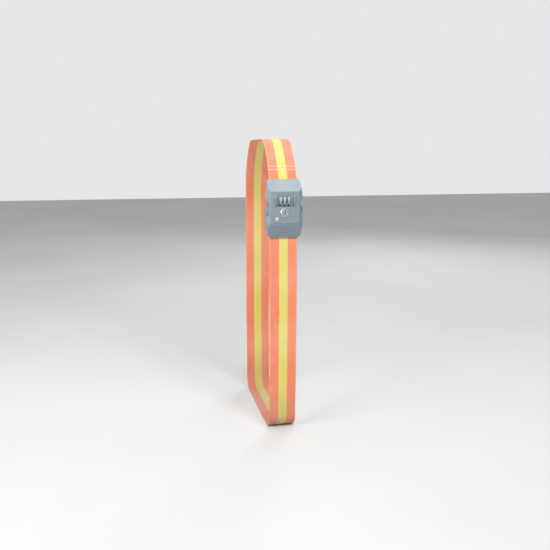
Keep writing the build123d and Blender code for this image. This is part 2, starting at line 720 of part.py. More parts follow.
# ---- dials, each with the gated sleeve that it turns ----
for number, x in enumerate(DIAL_X, start=1):
    ring_low = x + DIAL_OFFSET - DIAL_WIDTH / 2
    with BuildPart() as dial:
        with BuildSketch(axle_plane(ring_low)):
            with Locations((DIAL_DEPTH, -DIAL_Z)):
                Circle(DIAL_RADIUS)
                with PolarLocations(FLUTE_CENTRE, DIAL_FLUTES, start_angle=180 / DIAL_FLUTES):
                    Circle(FLUTE_RADIUS, mode=Mode.SUBTRACT)
                Circle(SLEEVE_RADIUS, mode=Mode.SUBTRACT)
        extrude(amount=DIAL_WIDTH)
    save(dial, f"dial_{number}")

    with BuildPart() as dial_sleeve:
        with BuildSketch(axle_plane(x - DIAL_PITCH / 2 + SLEEVE_GAP)):
            with Locations((DIAL_DEPTH, -DIAL_Z)):
                Circle(SLEEVE_NECK)
        extrude(amount=DIAL_PITCH - 2 * SLEEVE_GAP)
        with BuildSketch(axle_plane(ring_low)):
            with Locations((DIAL_DEPTH, -DIAL_Z)):
                Circle(SLEEVE_RADIUS - SLEEVE_FIT)
        extrude(amount=FLANGE_X + x - ring_low)
        with BuildSketch(axle_plane(x + FLANGE_X)):
            with Locations((DIAL_DEPTH, -DIAL_Z)):
                Circle(FLANGE_RADIUS)
                for side in (-1, 1):
                    with Locations((0, side * (GATE_FLOOR + 2))):
                        Rectangle(2 * GATE_HALF, 4.0, mode=Mode.SUBTRACT)
        extrude(amount=FLANGE_THICK)
        with BuildSketch(axle_plane(x - DIAL_PITCH)):
            with Locations((DIAL_DEPTH, -DIAL_Z)):
                Circle(SPINDLE_RADIUS + BORE_CLEARANCE)
        extrude(amount=2 * DIAL_PITCH, mode=Mode.SUBTRACT)
    save(dial_sleeve, f"dial_sleeve_{number}")

SPINDLE_LEFT = -14.2
SPINDLE_RIGHT = 16.9
with BuildPart() as dial_spindle:
    with BuildSketch(axle_plane(SPINDLE_LEFT)):
        with Locations((DIAL_DEPTH, -DIAL_Z)):
            Circle(SPINDLE_RADIUS)
    extrude(amount=SPINDLE_RIGHT - SPINDLE_LEFT)
save(dial_spindle, "dial_spindle")


def coil_spring(start, along, length, coil_radius, wire_radius, turns):
    """A helical spring wound along a direction from a start point on its axis."""
    with BuildLine() as coil:
        Helix(pitch=length / turns, height=length, radius=coil_radius, center=start, direction=along)
    with BuildSketch(Plane(origin=coil.line @ 0, z_dir=coil.line % 0)) as wire:
        Circle(wire_radius)
    sweep(wire.sketch, path=coil.line)


SPRING_WIRE = 0.2
END_SPRING_X = 11.6
END_SPRING_LENGTH = 2.6
END_SPRING_RADIUS = 2.1
END_SPRING_TURNS = 3
axle_point = Vector(END_SPRING_X, CASE_FRONT - DIAL_DEPTH, PARTING_Z + DIAL_Z)
with BuildPart() as spindle_spring:
    coil_spring(
        axle_point, (1, 0, 0), END_SPRING_LENGTH, END_SPRING_RADIUS, SPRING_WIRE, END_SPRING_TURNS
    )
save(spindle_spring, "spindle_spring")

SLIDE_MID = (SLIDE_BACK + SLIDE_FRONT) / 2
SLIDE_TOP = 30.1
SLIDE_LOW = 27.2
SPRING_GAP = 0.3
SPRING_LENGTH = SEAT_UP[0] - SLIDE_TOP - 2 * SPRING_GAP
SPRING_RADIUS = 1.3
SPRING_TURNS = 6
with BuildPart() as slide_springs:
    for side in (-1, 1):
        foot = Vector(side * SPRING_X, CASE_FRONT - SLIDE_MID, PARTING_Z + SLIDE_TOP + SPRING_GAP)
        coil_spring(foot, (0, 0, 1), SPRING_LENGTH, SPRING_RADIUS, SPRING_WIRE, SPRING_TURNS)
save(slide_springs, "slide_springs")

# A leaf behind the dials, with one tongue under each.
LEAF_STRIP = (24.0, 5.0)
LEAF_STRIP_Z = 54.0
LEAF_THICK = 0.4
TONGUE = (3.2, 12.0)
TONGUE_Z = 45.6
TONGUE_BEAD = 0.5
BEAD_DEPTH = COVER_THICK + 0.56
with BuildPart() as detent_leaf:
    with BuildSketch(front_plane(COVER_THICK + BORE_CLEARANCE)):
        with Locations((0, LEAF_STRIP_Z)):
            Rectangle(*LEAF_STRIP)
        with Locations(*[(x + DIAL_OFFSET, TONGUE_Z) for x in DIAL_X]):
            Rectangle(*TONGUE)
    extrude(amount=LEAF_THICK)
    for x in DIAL_X:
        with BuildSketch(axle_plane(x + DIAL_OFFSET - TONGUE[0] / 2)):
            with Locations((BEAD_DEPTH, -DIAL_Z)):
                Circle(TONGUE_BEAD)
        extrude(amount=TONGUE[0])
save(detent_leaf, "detent_leaf")

# ---- lock slide: a crossbar with a finger for each gate, two legs and a foot beside the key cam ----
LEG_INNER = 9.2
LEG_OUTER = 11.4
LEG_FOOT = 13.0
WEDGE_START = 15.0
WEDGE_END = 20.4
WEDGE_RISE = 1.7
FINGER_TOP = 33.8
FINGER_WIDTH = 0.7
SLIDE_FOOT = (7.6, 9.4, 22.9, 24.9)
with BuildPart() as lock_slide:
    with BuildSketch(front_plane(SLIDE_BACK)):
        symmetric_face(
            (0, SLIDE_LOW),
            (LEG_INNER, SLIDE_LOW),
            (LEG_INNER, LEG_FOOT),
            (LEG_OUTER, LEG_FOOT),
            (LEG_OUTER, SLIDE_LOW),
            (WEDGE_START, SLIDE_LOW),
            (WEDGE_END, SLIDE_LOW + WEDGE_RISE),
            (WEDGE_END, SLIDE_TOP),
            (0, SLIDE_TOP),
        )
        for x in DIAL_X:
            with Locations((x + FLANGE_X + FLANGE_THICK / 2, (SLIDE_TOP + FINGER_TOP) / 2)):
                Rectangle(FINGER_WIDTH, FINGER_TOP - SLIDE_TOP)
    extrude(amount=SLIDE_FRONT - SLIDE_BACK)
    add_block(*SLIDE_FOOT, CAM_BACK, SLIDE_FRONT)
save(lock_slide, "lock_slide")


# ---- sliding half: base with the gripping bars and the guide tongue ----
BASE_WALL = 2.2
BASE_SLOPE = (BODY_DEPTH - BASE_EDGE_DEPTH) / BASE_HEIGHT
CHAMBER_ROOF = -5.3
BASE_SIDE = [(32.5, -PARTING_GAP), (32.0, -5.0), (30.8, -12.0), (29.8, -17.5)]
BASE_CORNER = (28.4, -22.3)
BASE_FOOT = (24.6, -BASE_HEIGHT)
BASE_LIP = (0.7, -0.9)
BASE_HEEL = (1.5, 3.0)
BASE_EDGE_ACROSS = (26.0, 30.0)
BASE_EDGE_DOWN = (3.0, 9.0)
BASE_ROUND = 1.0
FRICTION_BAR_Z = -18.5
FRICTION_BAR = (2.8, 4.0, 0.8)
BAR_SINK = 0.8
SOCKET_GAP = 0.15
SOCKET_SLACK = 0.2
SOCKET_MOUTH = (27.1, -1.0)
SOCKET_MOUTH_SIZE = (5.0, 3.0)
GUIDE_TONGUE = (-9.0, 9.0, -2.0, 26.0, 2.5, 4.4)
TONGUE_TIP_Z = 20.0
TONGUE_CHAMFER = 2.0


def base_front(height, below=0.0):
    """Depth of the sloping front of the sliding half, or of a surface below it."""
    return BODY_DEPTH + height * BASE_SLOPE - below


with BuildPart() as male_base:
    with BuildSketch(front_plane(0)):
        with BuildLine():
            Polyline((0, -PARTING_GAP), *BASE_SIDE)
            ThreePointArc(BASE_SIDE[-1], BASE_CORNER, BASE_FOOT)
            Line(BASE_FOOT, (0, -BASE_HEIGHT))
            mirror(about=Plane.YZ)
        make_face()
    extrude(amount=BODY_DEPTH)
    with BuildSketch(SIDE):
        closed_face(
            (0, 0),
            (BODY_DEPTH - BASE_LIP[0], 0),
            (base_front(BASE_LIP[1]), BASE_LIP[1]),
            (base_front(-BASE_HEIGHT), -BASE_HEIGHT),
            (BASE_HEEL[0], -BASE_HEIGHT),
            (0, -BASE_HEIGHT + BASE_HEEL[1]),
        )
    extrude(amount=REACH, both=True, mode=Mode.INTERSECT)
    with BuildSketch(SECTION):
        symmetric_face(
            (0, 0),
            (SECTION_HALF, 0),
            (SECTION_HALF, bevel_depth(SECTION_HALF)),
            (FACE_HALF, BODY_DEPTH),
            (0, BODY_DEPTH),
        )
    extrude(amount=REACH, both=True, mode=Mode.INTERSECT)
    base_edges = male_base.edges().filter_by(
        lambda edge: BASE_EDGE_ACROSS[0] < abs(edge.center().X) < BASE_EDGE_ACROSS[1]
        and BASE_EDGE_DOWN[0] < PARTING_Z - edge.center().Z < BASE_EDGE_DOWN[1]
    )
    fillet(base_edges, radius=BASE_ROUND)
    with BuildSketch(SIDE):
        closed_face(
            (-1, CHAMBER_ROOF),
            (base_front(CHAMBER_ROOF, BASE_WALL), CHAMBER_ROOF),
            (base_front(-BASE_HEIGHT - 1, BASE_WALL), -BASE_HEIGHT - 1),
            (-1, -BASE_HEIGHT - 1),
        )
    extrude(amount=SLOT_HALF, both=True, mode=Mode.SUBTRACT)
    with BuildSketch(SIDE):
        with Locations(GRIP_BAR):
            Circle(BAR_RADIUS)
        with Locations((GRIP_BAR[0], FRICTION_BAR_Z)):
            RectangleRounded(*FRICTION_BAR)
    extrude(amount=SLOT_HALF + BAR_SINK, both=True)
    # sockets of the prong knuckles
    with BuildSketch(front_plane(PRONG_BACK - SOCKET_SLACK)):
        for side in (-1, 1):
            with Locations((side * PRONG_PIVOT[0], PRONG_PIVOT[1])):
                Circle(KNUCKLE_RADIUS + SOCKET_GAP)
            with Locations((side * SOCKET_MOUTH[0], SOCKET_MOUTH[1])):
                Rectangle(*SOCKET_MOUTH_SIZE)
    extrude(amount=PRONG_FRONT - PRONG_BACK + 2 * SOCKET_SLACK, mode=Mode.SUBTRACT)
    add_block(*GUIDE_TONGUE)
    tongue_tip = male_base.edges().filter_by(Axis.Y).filter_by(
        lambda edge: edge.center().Z > PARTING_Z + TONGUE_TIP_Z
    )
    chamfer(tongue_tip, length=TONGUE_CHAMFER)
save(male_base, "male_base")

# ---- side prongs: an arm with a nose, and a button that fills the side window ----
ARM = [
    (25.6, PRONG_PIVOT[1]),
    (25.6, 23.5),
    (21.0, 26.2),
    (21.0, 28.2),
    (24.2, 32.2),
    (26.2, 33.9),
    (28.8, 33.2),
    (29.0, PRONG_PIVOT[1]),
]
BUTTON_BACK = 2.4
BUTTON_INNER = 28.6
BUTTON_TOP = 33.0
BUTTON_FOOT = 16.0
BUTTON_LOW = (32.7, 16.4)
BUTTON_MIDDLE = (33.7, 24.0)
BUTTON_HIGH = (32.4, 30.6)
BUTTON_LIMITS = (26.0, 36.0)
BUTTON_SINK = 1.6


def on_side(side, point):
    """A point of the right prong, or its mirror image on the left."""
    return (side * point[0], point[1])


for side, name in ((-1, "left_prong"), (1, "right_prong")):
    with BuildPart() as prong:
        with BuildSketch(front_plane(PRONG_BACK)):
            with Locations((side * PRONG_PIVOT[0], PRONG_PIVOT[1])):
                Circle(KNUCKLE_RADIUS)
            with BuildLine():
                Polyline(*[on_side(side, point) for point in ARM], close=True)
            make_face()
        extrude(amount=PRONG_FRONT - PRONG_BACK)
        low = on_side(side, BUTTON_LOW)
        high = on_side(side, BUTTON_HIGH)
        with BuildSketch(front_plane(BUTTON_BACK)):
            with BuildLine():
                Polyline(high, (side * BUTTON_INNER, BUTTON_TOP), (side * BUTTON_INNER, BUTTON_FOOT), low)
                ThreePointArc(low, on_side(side, BUTTON_MIDDLE), high)
            make_face()
        bump = extrude(amount=BODY_DEPTH, mode=Mode.PRIVATE)
        inner, outer = BUTTON_LIMITS
        with BuildSketch(SECTION):
            closed_face(
                (side * inner, 0),
                (side * outer, 0),
                (side * outer, bevel_depth(outer, BUTTON_SINK)),
                (side * inner, bevel_depth(inner, BUTTON_SINK)),
            )
        limit = extrude(amount=REACH, both=True, mode=Mode.PRIVATE)
        add(bump & limit)
    save(prong, name)
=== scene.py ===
import json
import math
import bpy
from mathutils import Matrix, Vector


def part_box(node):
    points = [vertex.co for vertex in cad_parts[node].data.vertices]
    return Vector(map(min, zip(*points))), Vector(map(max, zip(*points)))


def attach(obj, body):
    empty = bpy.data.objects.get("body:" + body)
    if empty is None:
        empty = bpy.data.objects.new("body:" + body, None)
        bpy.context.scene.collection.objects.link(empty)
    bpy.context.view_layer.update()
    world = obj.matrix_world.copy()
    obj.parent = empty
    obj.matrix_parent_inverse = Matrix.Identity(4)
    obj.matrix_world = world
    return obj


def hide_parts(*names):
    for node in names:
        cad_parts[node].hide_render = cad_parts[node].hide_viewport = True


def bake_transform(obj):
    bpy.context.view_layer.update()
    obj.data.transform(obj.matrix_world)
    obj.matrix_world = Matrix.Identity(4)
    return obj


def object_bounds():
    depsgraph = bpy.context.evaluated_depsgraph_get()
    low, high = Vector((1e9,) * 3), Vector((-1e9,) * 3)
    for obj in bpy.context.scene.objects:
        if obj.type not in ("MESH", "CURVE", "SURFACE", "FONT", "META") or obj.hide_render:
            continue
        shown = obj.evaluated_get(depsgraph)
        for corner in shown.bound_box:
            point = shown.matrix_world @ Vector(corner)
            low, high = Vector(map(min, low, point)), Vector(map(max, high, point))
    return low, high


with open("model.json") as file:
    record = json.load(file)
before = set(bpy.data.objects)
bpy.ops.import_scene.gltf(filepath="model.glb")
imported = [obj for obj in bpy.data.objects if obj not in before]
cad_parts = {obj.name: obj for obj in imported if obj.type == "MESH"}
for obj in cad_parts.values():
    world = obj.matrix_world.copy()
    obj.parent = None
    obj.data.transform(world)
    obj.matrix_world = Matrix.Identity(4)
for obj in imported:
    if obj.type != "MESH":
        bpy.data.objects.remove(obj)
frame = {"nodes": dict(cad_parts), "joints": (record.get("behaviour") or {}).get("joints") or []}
cad_low, cad_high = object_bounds()

# Luggage strap with a dial and key lock, in the loop that it makes round a case. Sizes of the strap are
# in millimetres until mm() turns them into the frame's metres. The room and the camera are in metres.
JOINTS = {joint["name"]: joint for joint in frame["joints"]}


def mm(*values):
    """Millimetres to metres, as a vector for three values."""
    return Vector(value / 1000 for value in values)


# ---- the webbing's route in the YZ section: the same corners and radii as the CAD strips ----
WEB_WIDTH = 50.0
WEB_THICK = 1.4
CASE_FRONT = -120.0
CASE_HALF_HEIGHT = 266.8
PARTING_Z = 121.0
LEAN = math.radians(32.0)
SHOULDER_TURN = math.radians(43.8)
HALF_THICK = WEB_THICK / 2
BAR_HALF = 1.8
BAR_CLEARANCE = 0.05
WRAP_HALF = BAR_HALF + BAR_CLEARANCE + HALF_THICK
LOOP_BAR_DEPTH, LOOP_BAR_HEIGHT = 3.6, 66.0
GRIP_BAR_DEPTH, GRIP_BAR_HEIGHT = 5.0, -9.0
LEAN_START = 70.0
FOLD_END = 101.5
FOLD_GAP = 0.3
FOLD_BEND = 6.0
BAR_BEND = 2.4
LEAN_BEND = 4.0
CROWN_INSET = 53.7
SHOULDER_DROP = 56.0
FRONT_SHOULDER_BEND = 60.0
CROWN_BEND = 50.0
BACK_SHOULDER_BEND = 134.0
FOOT_BEND = 28.7
FOOT_SINK = 0.6
RUN_LOW_Z = -215.0
RUN_HIGH_Z = 94.0
TAIL_TOP_Z = 80.0
TAIL_FLAT_Z = 54.0
TAIL_END_Z = -145.0
TAIL_DEPTH = 0.85
TAIL_BEND = 60.0
STRIPE_HALF = 8.0


def at(depth, height):
    """A point of the section from a depth off the case and a height off the parting line."""
    return Vector((CASE_FRONT - depth, PARTING_Z + height))


lean_way = Vector((math.sin(LEAN), math.cos(LEAN)))
lean_out = Vector((-math.cos(LEAN), math.sin(LEAN)))
lean_start = at(LOOP_BAR_DEPTH + WRAP_HALF, LEAN_START)
crown_front = Vector((CASE_FRONT - HALF_THICK + CROWN_INSET, CASE_HALF_HEIGHT + HALF_THICK))
crown_back = Vector((-crown_front.x, crown_front.y))
shoulder_back = Vector((-CASE_FRONT + HALF_THICK, crown_front.y - SHOULDER_DROP))
corner_back = Vector((-CASE_FRONT + HALF_THICK, -CASE_HALF_HEIGHT - HALF_THICK))
corner_front = Vector((CASE_FRONT - FOOT_SINK, -CASE_HALF_HEIGHT - HALF_THICK))
run_top = at(GRIP_BAR_DEPTH + WRAP_HALF, GRIP_BAR_HEIGHT + WRAP_HALF)
back_way = Vector((-math.sin(SHOULDER_TURN), -math.cos(SHOULDER_TURN)))
to_start = lean_start - crown_front
lean_length = to_start.cross(back_way) / back_way.cross(lean_way)
shoulder_front = lean_start + lean_way * lean_length

fold_shift = (WEB_THICK + FOLD_GAP) / math.cos(LEAN)
fold_lean = (FOLD_END - LEAN_START) * math.tan(LEAN)
fold_end = at(LOOP_BAR_DEPTH + WRAP_HALF - fold_lean - fold_shift, FOLD_END)
fold_corner = LEAN_START + (2 * WRAP_HALF - fold_shift) / math.tan(LEAN)


def on_run(z):
    """Point on the middle of the front run at height z."""
    share = (z - corner_front.y) / (run_top.y - corner_front.y)
    return corner_front.lerp(run_top, share)


LOOP_ROUTE = [
    (fold_end, 0.0),
    (at(LOOP_BAR_DEPTH - WRAP_HALF, fold_corner), FOLD_BEND),
    (at(LOOP_BAR_DEPTH - WRAP_HALF, LOOP_BAR_HEIGHT - WRAP_HALF), BAR_BEND),
    (at(LOOP_BAR_DEPTH + WRAP_HALF, LOOP_BAR_HEIGHT - WRAP_HALF), BAR_BEND),
    (lean_start, LEAN_BEND),
    (shoulder_front, FRONT_SHOULDER_BEND),
    (crown_front, CROWN_BEND),
    (crown_back, CROWN_BEND),
    (shoulder_back, BACK_SHOULDER_BEND),
    (corner_back, FOOT_BEND),
    (corner_front, FOOT_BEND),
    (on_run(RUN_LOW_Z), 0.0),
]
RUN_ROUTE = [(on_run(RUN_LOW_Z), 0.0), (on_run(RUN_HIGH_Z), 0.0)]
grip_back = at(GRIP_BAR_DEPTH - WRAP_HALF, GRIP_BAR_HEIGHT + WRAP_HALF)
TAIL_ROUTE = [
    (on_run(RUN_HIGH_Z), 0.0),
    (run_top, BAR_BEND),
    (grip_back, BAR_BEND),
    (Vector((grip_back.x, TAIL_TOP_Z)), TAIL_BEND),
    (Vector((CASE_FRONT - TAIL_DEPTH, TAIL_FLAT_Z)), TAIL_BEND),
    (Vector((CASE_FRONT - TAIL_DEPTH, TAIL_END_Z)), 0.0),
]


def trace(route):
    """Stretches of a filleted route: ("line", length, start, way) and ("arc", length, centre, ...)."""
    stretches = []
    here = route[0][0]
    for (before, _), (corner, radius), (after, _) in zip(route, route[1:], route[2:]):
        way_in = (corner - before).normalized()
        way_out = (after - corner).normalized()
        turn = math.atan2(way_in.cross(way_out), way_in.dot(way_out))
        tangent = radius * math.tan(abs(turn) / 2)
        start = corner - way_in * tangent
        stretches.append(("line", (start - here).length, here, way_in))
        inward = Vector((-way_in.y, way_in.x)) * math.copysign(1, turn)
        stretches.append(("arc", radius * abs(turn), start + inward * radius, way_in, radius, turn))
        here = corner + way_out * tangent
    end = route[-1][0]
    stretches.append(("line", (end - here).length, here, (end - here).normalized()))
    return stretches


def route_length(route):
    """Length of the webbing's middle line along a route, in millimetres."""
    return sum(stretch[1] for stretch in trace(route))


def place_on(stretches, distance):
    """Point and direction at a distance along traced stretches."""
    for stretch in stretches:
        length = stretch[1]
        if distance <= length or stretch is stretches[-1]:
            if stretch[0] == "line":
                return stretch[2] + stretch[3] * distance, stretch[3]
            _, _, centre, way_in, radius, turn = stretch
            angle = turn * distance / length
            cosine, sine = math.cos(angle), math.sin(angle)
            way = Vector((way_in.x * cosine - way_in.y * sine, way_in.x * sine + way_in.y * cosine))
            outward = Vector((way.y, -way.x)) * math.copysign(1, turn)
            return centre + outward * radius, way
        distance -= length


# ---- meshes ----
def solid(name, points, faces, coordinates=None):
    """A smooth-shaded mesh object, with flat coordinates for its material if they are given."""
    data = bpy.data.meshes.new(name)
    data.from_pydata(points, [], faces)
    if coordinates:
        layer = data.uv_layers.new(name="flat")
        for loop in data.loops:
            layer.data[loop.index].uv = coordinates[loop.vertex_index]
    data.polygons.foreach_set("use_smooth", [True] * len(data.polygons))
    data.update()
    made = bpy.data.objects.new(name, data)
    bpy.context.scene.collection.objects.link(made)
    return made


def add_tube(faces, first, sides, steps):
    """Close a tube of rings of points, numbered from first: its walls and both end faces."""
    for step in range(steps):
        for corner in range(sides):
            a = first + step * sides + corner
            b = first + step * sides + (corner + 1) % sides
            faces.append((a, b, b + sides, a + sides))
    faces.append(tuple(range(first + sides - 1, first - 1, -1)))
    last = first + steps * sides
    faces.append(tuple(range(last, last + sides)))


# ---- webbing meshes: ribbed across, with selvedges and a groove at each side of the stripe ----
RIB_PITCH = 1.7
RIB_DEPTH = 0.11
GROOVE_DEPTH = 0.12
GROOVE_WIDTH = 0.7
EDGE_ROUND = 0.75
EDGE_HALF = 0.04
DRIFTS = [(0.28, 61.0, 0.0), (0.14, 23.0, 1.3)]
SELVEDGE = 2.4
HALF_WIDTH = WEB_WIDTH / 2


def across_positions():
    """Places across the webbing, close together at the selvedges and the stripe's edges."""
    half = [0.0, 2.6, 5.2]
    half += [STRIPE_HALF + step for step in (-0.7, 0.0, 0.7, 3.0, 5.8, 8.6, 11.4)]
    half += [HALF_WIDTH - SELVEDGE + step for step in (-0.6, 0.0, 0.6)]
    half += [HALF_WIDTH - inset for inset in (1.0, 0.55, 0.25, 0.07, 0.0)]
    return [-value for value in reversed(half[1:])] + half


def half_thickness(across, along):
    """Half the webbing's thickness: a rib's crest or valley, less at the grooves and the edges."""
    away = abs(across)
    rib = 0.5 - 0.5 * math.cos(2 * math.pi * along / RIB_PITCH)
    thickness = HALF_THICK - RIB_DEPTH * rib
    for groove in (STRIPE_HALF, HALF_WIDTH - SELVEDGE):
        thickness -= GROOVE_DEPTH * max(0.0, 1 - abs(away - groove) / GROOVE_WIDTH)
    past = max(0.0, away - (HALF_WIDTH - EDGE_ROUND)) / EDGE_ROUND
    return thickness * math.sqrt(max(0.0, 1 - past * past)) + EDGE_HALF


def wander(along):
    """Small sideways drift of the webbing, in millimetres, from its distance along the strap."""
    return sum(reach * math.sin(along / pitch + shift) for reach, pitch, shift in DRIFTS)


def webbing(name, route, start):
    """A strip of webbing along a route. start is its first point's distance along the whole strap."""
    stretches = trace(route)
    length = sum(stretch[1] for stretch in stretches)
    rows = max(8, round(length / (RIB_PITCH / 2)))
    places = across_positions()
    ring = len(places) * 2 - 2
    points, coordinates = [], []
    for row in range(rows + 1):
        distance = length * row / rows
        along = start + distance
        middle, way = place_on(stretches, distance)
        outward = Vector((-way.y, way.x))
        drift = wander(along)
        for face, columns in ((1, places), (-1, places[-2:0:-1])):
            for across in columns:
                offset = outward * (face * half_thickness(across, along))
                points.append(mm(across + drift, middle.x + offset.x, middle.y + offset.y))
                coordinates.append(((across + HALF_WIDTH) / 1000, along / 1000))
    faces = [
        (a + c, a + (c + 1) % ring, a + ring + (c + 1) % ring, a + ring + c)
        for a in range(0, rows * ring, ring)
        for c in range(ring)
    ]
    faces.append(tuple(reversed(range(ring))))
    faces.append(tuple(range(rows * ring, (rows + 1) * ring)))
    strip = solid(name, points, faces, coordinates)
    for end in strip.data.polygons[-2:]:
        end.use_smooth = False
    return strip


# ---- thread: zigzag rows through the strap and its fold ----
STITCH_ROWS = (93.0, 98.6)
ROW_HALF = 23.2
ZIG_PITCH = 1.0
ZIG_HALF = 1.15
THREAD_RADIUS = 0.29
THREAD_SIDES = 9
THREAD_STEPS = 8
THREAD_LIFT = 1.6
THREAD_SINK = 0.9
PLIES = 3
PLY_GROOVE = 0.16
PLY_TWIST = 2.6


def stitch(points, faces, start, end, out):
    """Add one twisted stitch from start to end that bulges out of the webbing and dips in at its ends."""
    way = (end - start).normalized()
    side = way.cross(out).normalized()
    first = len(points)
    for step in range(THREAD_STEPS + 1):
        share = step / THREAD_STEPS
        bulge = 1 - abs(2 * share - 1) ** 3
        middle = start.lerp(end, share) + out * (THREAD_RADIUS * (THREAD_LIFT * bulge - THREAD_SINK))
        for corner in range(THREAD_SIDES):
            angle = 2 * math.pi * corner / THREAD_SIDES
            twist = PLY_TWIST * share * math.pi
            ply = 1 - PLY_GROOVE * abs(math.sin(PLIES / 2 * angle + twist))
            rim = (side * math.cos(angle) + out * math.sin(angle)) * (THREAD_RADIUS * ply)
            points.append(middle + rim)
    add_tube(faces, first, THREAD_SIDES, THREAD_STEPS)


def fold_thread():
    """The thread of both rows, on the strap's outer face and on the fold's inner face."""
    points, faces = [], []
    outward = Vector((0, lean_out.x, lean_out.y))
    upward = Vector((0, lean_way.x, lean_way.y))
    zigs = round(2 * ROW_HALF / ZIG_PITCH)
    for height in STITCH_ROWS:
        along = (height - LEAN_START) / math.cos(LEAN)
        middle = lean_start + lean_way * along
        row = Vector((0, middle.x, middle.y))
        for face, depth in ((1, HALF_THICK), (-1, HALF_THICK + WEB_THICK + FOLD_GAP)):
            out = outward * face
            base = row + out * depth
            for zig in range(zigs):
                left = -ROW_HALF + zig * ZIG_PITCH
                rise = ZIG_HALF if zig % 2 else -ZIG_HALF
                start = base + Vector((left, 0, 0)) + upward * rise
                end = base + Vector((left + ZIG_PITCH, 0, 0)) - upward * rise
                stitch(points, faces, start, end, out)
    return solid("fold_thread", [point / 1000 for point in points], faces)


# ---- return springs of the lock slide ----
SPRING_X = 17.9
SPRING_DEPTH = 11.7
SPRING_LOW, SPRING_HIGH = 30.4, 38.4
SPRING_RADIUS = 0.85
WIRE_RADIUS = 0.2
SPRING_TURNS = 8
CLOSED_TURN = 0.42
COIL_STEPS = 26
WIRE_SIDES = 10


def coil_rise(turn):
    """Height up a spring after a number of turns: its first and last turns lie closed."""
    middle = (SPRING_HIGH - SPRING_LOW - 2 * CLOSED_TURN) / (SPRING_TURNS - 2)
    opened = min(max(turn - 1, 0), SPRING_TURNS - 2) * middle
    return opened + CLOSED_TURN * (min(turn, 1) + max(0, turn - SPRING_TURNS + 1))


def return_springs():
    """Both coil springs, with closed ends, between the slide and its seats."""
    points, faces = [], []
    steps = SPRING_TURNS * COIL_STEPS
    for side in (-1, 1):
        first = len(points)
        for step in range(steps + 1):
            turn = step / COIL_STEPS
            around = 2 * math.pi * turn
            height = PARTING_Z + SPRING_LOW + coil_rise(turn)
            for corner in range(WIRE_SIDES):
                angle = -2 * math.pi * corner / WIRE_SIDES
                reach = SPRING_RADIUS + WIRE_RADIUS * math.cos(angle)
                x = side * SPRING_X + reach * math.cos(around)
                y = CASE_FRONT - SPRING_DEPTH + reach * math.sin(around)
                points.append(mm(x, y, height + WIRE_RADIUS * math.sin(angle)))
        add_tube(faces, first, WIRE_SIDES, steps)
    return solid("return_springs", points, faces)


# ---- digits on the dials ----
DIALS = (1, 2, 3)
DIGITS = 10
DIGIT_SIZE = 3.1
DIGIT_HEIGHT = 0.07
DIGIT_SINK = 0.05


def dial_digits(number):
    """The ten digits of one dial, wrapped round its lands between the flutes."""
    low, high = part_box(f"dial_{number}")
    axle = Vector(JOINTS[f"dial_{number}_spin"]["pos_m"])
    radius = axle.y - low.y
    middle_x = (low.x + high.x) / 2
    points, faces = [], []
    for digit in range(DIGITS):
        text = bpy.data.curves.new(f"digit_{digit}", "FONT")
        text.body = str(digit)
        text.size = DIGIT_SIZE / 1000
        text.align_x = "CENTER"
        text.align_y = "CENTER"
        text.extrude = DIGIT_HEIGHT / 2000
        text.resolution_u = 4
        holder = bpy.data.objects.new(text.name, text)
        bpy.context.scene.collection.objects.link(holder)
        bpy.context.view_layer.update()
        evaluated = holder.evaluated_get(bpy.context.evaluated_depsgraph_get())
        shape = bpy.data.meshes.new_from_object(evaluated)
        first = len(points)
        for vertex in shape.vertices:
            out = radius - DIGIT_SINK / 1000 + vertex.co.z + DIGIT_HEIGHT / 2000
            angle = math.radians(360 / DIGITS * digit) - vertex.co.y / radius
            rim_y = axle.y - out * math.cos(angle)
            rim_z = axle.z - out * math.sin(angle)
            points.append(Vector((middle_x + vertex.co.x, rim_y, rim_z)))
        faces += [tuple(first + index for index in face.vertices) for face in shape.polygons]
        bpy.data.objects.remove(holder)
    made = solid(f"dial_{number}_digits", points, faces)
    made.data.polygons.foreach_set("use_smooth", [False] * len(made.data.polygons))
    return made


# ---- materials ----
def linear(red, green, blue):
    """A colour given in 0 to 255 screen values, as a linear colour with alpha."""
    channels = [value / 255 for value in (red, green, blue)]
    return tuple(
        value / 12.92 if value <= 0.04045 else ((value + 0.055) / 1.055) ** 2.4 for value in channels
    ) + (1.0,)


